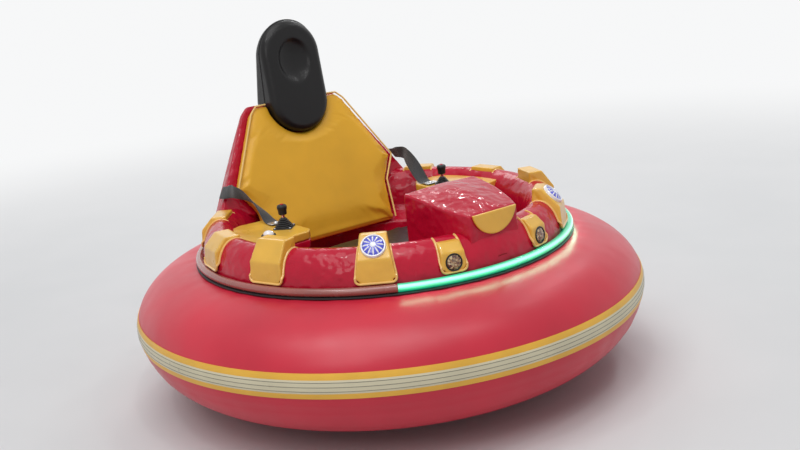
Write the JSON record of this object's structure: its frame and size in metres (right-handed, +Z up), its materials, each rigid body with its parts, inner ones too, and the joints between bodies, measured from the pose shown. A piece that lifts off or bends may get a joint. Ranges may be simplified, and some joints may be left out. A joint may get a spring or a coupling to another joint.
{
  "type": "round spinning bumper car",
  "caption": "Round electric bumper car with an inflated ring, moulded cockpit, bucket seat, hand levers, driven wheels and swivel casters.",
  "frame": {"origin": "on the ground, under the middle of the car's bounding box", "axes": "+X forward, +Y to the car's left, +Z up"},
  "size_m": [1.8058, 1.8054, 1.275],
  "materials": {
    "tube_vinyl": "satin welded vinyl",
    "band_vinyl": "satin welded vinyl with thin pale lines",
    "black_plastic": "moulded, fine grain",
    "light_lit": "lit translucent tube",
    "light_dark": "unlit translucent tube",
    "red_shell": "glossy moulded fibreglass",
    "yellow_shell": "glossy moulded fibreglass",
    "floor_grey": "ribbed",
    "signal_lens": "faceted clear and blue",
    "headlamp_lens": "smoked lens",
    "seat_yellow": "padded vinyl",
    "seat_black": "padded vinyl",
    "belt_webbing": "woven webbing",
    "white_dome": "opal",
    "frame_steel": "powder coat",
    "zinc_steel": "zinc plated",
    "battery_case": "moulded",
    "motor_case": "satin black",
    "tyre_rubber": "rubber",
    "hub_alloy": "cast"
  },
  "bodies": {
    "car": {"bumper_tube": "tube_vinyl", "tube_band": "band_vinyl", "air_valve": "black_plastic", "light_ring_lit": "light_lit", "light_ring_dark": "light_dark", "light_channel": "black_plastic", "body_shell": "red_shell", "floor_pan": "floor_grey", "collar_blocks": "yellow_shell", "signal_blocks": "yellow_shell", "headlamp_blocks": "yellow_shell", "signal_domes": "signal_lens", "headlamp_lenses": "headlamp_lens", "nose_cowl": "red_shell", "nose_beak": "yellow_shell", "seat_box": "red_shell", "seat_cushion": "seat_black", "seat_shell": "red_shell", "seat_back_pad": "seat_yellow", "headrest": "seat_black", "headrest_dish": "black_plastic", "lap_belt_right": "belt_webbing", "lap_belt_left": "belt_webbing", "console_right": "red_shell", "console_left": "red_shell", "armrest_right": "yellow_shell", "armrest_left": "yellow_shell", "joystick_plates": "black_plastic", "joystick_right": "black_plastic", "joystick_left": "black_plastic", "console_bezels": "black_plastic", "console_domes": "white_dome", "charge_socket": "black_plastic", "tube_clamp_ring": "frame_steel", "chassis_frame": "frame_steel", "batteries": "battery_case", "motor_right": "motor_case", "motor_left": "motor_case", "caster_plates": "zinc_steel"},
    "drive_wheel_right": {"drive_tyre_right": "tyre_rubber", "drive_hub_right": "hub_alloy"},
    "drive_wheel_left": {"drive_tyre_left": "tyre_rubber", "drive_hub_left": "hub_alloy"},
    "caster_front": {"caster_fork_front": "zinc_steel"},
    "caster_front_wheel": {"caster_wheel_front": "tyre_rubber"},
    "caster_rear": {"caster_fork_rear": "zinc_steel"},
    "caster_rear_wheel": {"caster_wheel_rear": "tyre_rubber"}
  },
  "joints": [
    {"name": "drive_wheel_right_spin", "type": "hinge", "parent": "car", "child": "drive_wheel_right", "pos_m": [0, -0.3, 0.11], "axis": [0, 1, 0], "continuous": true},
    {"name": "drive_wheel_left_spin", "type": "hinge", "parent": "car", "child": "drive_wheel_left", "pos_m": [0, 0.3, 0.11], "axis": [0, 1, 0], "continuous": true},
    {"name": "caster_front_swivel", "type": "hinge", "parent": "car", "child": "caster_front", "pos_m": [0.33, 0, 0.13], "axis": [0, 0, 1], "continuous": true},
    {"name": "caster_front_roll", "type": "hinge", "parent": "caster_front", "child": "caster_front_wheel", "pos_m": [0.295, 0, 0.055], "axis": [0, 1, 0], "continuous": true},
    {"name": "caster_rear_swivel", "type": "hinge", "parent": "car", "child": "caster_rear", "pos_m": [-0.33, 0, 0.13], "axis": [0, 0, 1], "continuous": true},
    {"name": "caster_rear_roll", "type": "hinge", "parent": "caster_rear", "child": "caster_rear_wheel", "pos_m": [-0.365, 0, 0.055], "axis": [0, 1, 0], "continuous": true}
  ]
}
